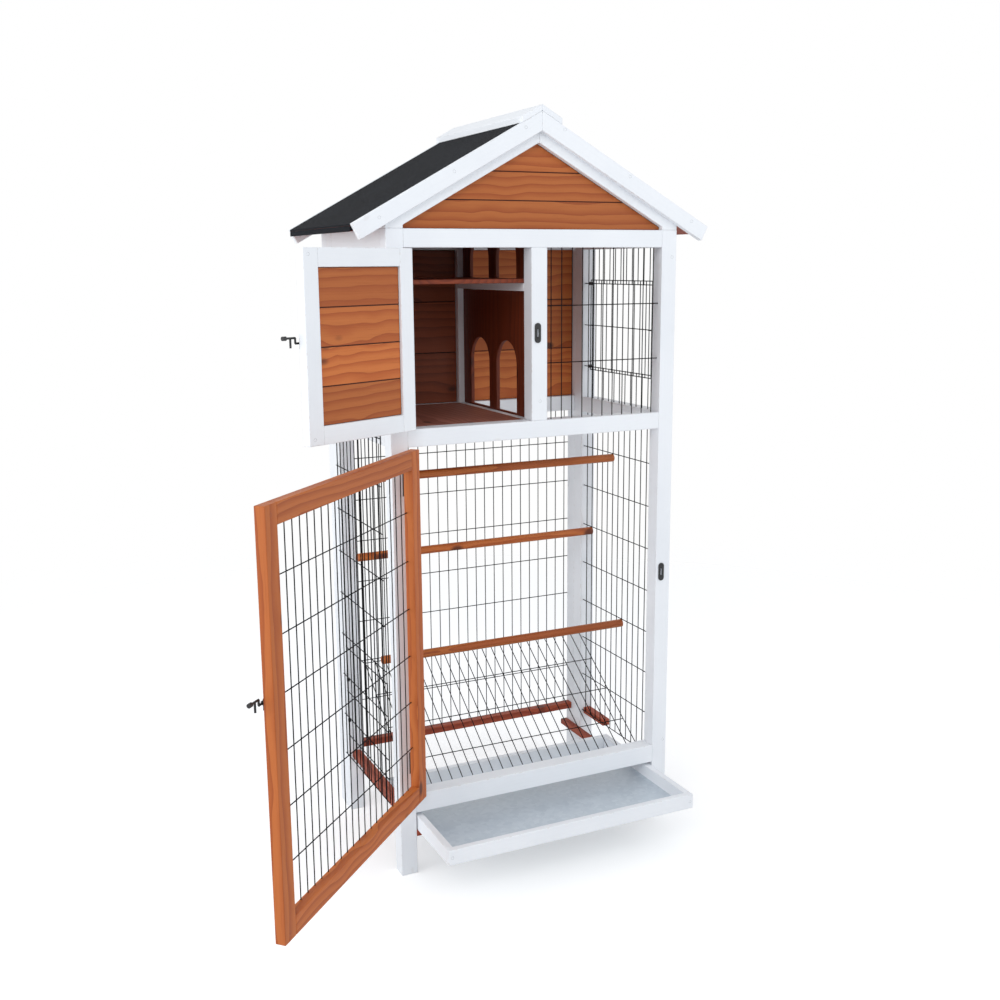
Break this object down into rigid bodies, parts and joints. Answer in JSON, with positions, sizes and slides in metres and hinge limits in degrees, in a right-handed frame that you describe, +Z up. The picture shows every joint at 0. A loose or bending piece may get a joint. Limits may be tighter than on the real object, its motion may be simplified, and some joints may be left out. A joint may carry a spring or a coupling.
{
  "type": "bird cage",
  "caption": "Tall timber outdoor bird cage with a wire flight cage, a nest box above, a gable roof, hinged doors and a slide-out tray.",
  "frame": {"origin": "middle of the rest-pose bounding box in plan, at the level of the feet, with the doors open and the tray pulled out", "axes": "+Z up, -Y towards the front with the doors, +X to the right seen from the front"},
  "size_m": [1.1678, 0.8998, 1.631],
  "materials": {
    "white": "white satin paint",
    "stained_panel": "red-brown stained fir",
    "bare_wood": "orange-brown stained fir",
    "brown_wood": "dark stained fir",
    "roof_felt": "matt mineral felt",
    "black_wire": "black coated wire",
    "black_iron": "black satin",
    "galvanised": "dull galvanised"
  },
  "bodies": {
    "cabinet": {"back_barge_boards": "white", "back_gable": "stained_panel", "back_rafters": "white", "back_rails": "white", "back_stiles": "white", "back_wire": "black_wire", "floor_battens": "brown_wood", "front_barge_boards": "white", "front_bottom_rail": "white", "front_gable": "stained_panel", "front_middle_post": "white", "front_middle_rail": "white", "front_rafters": "white", "front_top_rail": "white", "latch_keepers": "black_iron", "left_front_post": "white", "left_gate_rings": "black_wire", "left_nest_wall": "stained_panel", "left_rails": "white", "left_rear_post": "white", "left_roof_deck": "brown_wood", "left_roof_felt": "roof_felt", "left_wire": "black_wire", "lower_perch": "bare_wood", "middle_perch": "bare_wood", "nest_back_wall": "stained_panel", "nest_bearer": "white", "nest_cleats": "white", "nest_floor": "brown_wood", "nest_partition": "stained_panel", "nest_shelf": "stained_panel", "post_hinges": "black_iron", "ridge_cap": "white", "right_front_post": "white", "right_gate_rings": "black_wire", "right_rails": "white", "right_rear_post": "white", "right_roof_deck": "brown_wood", "right_roof_felt": "roof_felt", "right_wire": "black_wire", "tray_runners": "brown_wood", "upper_perch": "bare_wood", "window_back_wall": "stained_panel", "window_wire": "black_wire"},
    "nest_door": {"nest_door_frame": "white", "nest_door_planks": "stained_panel", "nest_door_hinges": "black_iron", "nest_latch_base": "black_iron"},
    "flight_door": {"flight_door_frame": "bare_wood", "flight_door_wire": "black_wire", "flight_door_hinges": "black_iron", "flight_latch_base": "black_iron"},
    "nest_hook": {"nest_latch_hook": "black_iron"},
    "flight_hook": {"flight_latch_hook": "black_iron"},
    "tray": {"tray_boards": "white", "tray_sheet": "galvanised"},
    "lifting_floor": {"wire_floor": "black_wire"},
    "left_gate": {"left_gate": "black_wire"},
    "right_gate": {"right_gate": "black_wire"}
  },
  "joints": [
    {"name": "nest_door_swing", "type": "hinge", "parent": "cabinet", "child": "nest_door", "pos_m": [-0.12959, 0.00154, 1.1655], "axis": [0, 0, 1], "range_deg": [-18, 155]},
    {"name": "flight_door_swing", "type": "hinge", "parent": "cabinet", "child": "flight_door", "pos_m": [-0.12959, 0.00154, 0.566], "axis": [0, 0, 1], "range_deg": [-35, 135]},
    {"name": "nest_hook_turn", "type": "hinge", "parent": "nest_door", "child": "nest_hook", "pos_m": [-0.38602, -0.11582, 1.17439], "axis": [-0.9063, -0.4226, 0], "range_deg": [0, 90]},
    {"name": "flight_hook_turn", "type": "hinge", "parent": "flight_door", "child": "flight_hook", "pos_m": [-0.55704, -0.42307, 0.6153], "axis": [-0.7071, -0.7071, 0], "range_deg": [0, 90]},
    {"name": "tray_slide", "type": "slide", "parent": "cabinet", "child": "tray", "axis": [0, 1, 0], "range_m": [-0.15, 0.176]},
    {"name": "floor_tilt", "type": "hinge", "parent": "cabinet", "child": "lifting_floor", "pos_m": [0.17241, 0.04854, 0.1558], "axis": [1, 0, 0], "range_deg": [-34.5, 0]},
    {"name": "left_gate_swing", "type": "hinge", "parent": "cabinet", "child": "left_gate", "pos_m": [-0.17439, 0.32454, 0.3232], "axis": [0, 0, -1], "range_deg": [0, 100]},
    {"name": "right_gate_swing", "type": "hinge", "parent": "cabinet", "child": "right_gate", "pos_m": [0.48921, 0.34454, 1.1636], "axis": [0, 0, 1], "range_deg": [0, 100]}
  ]
}
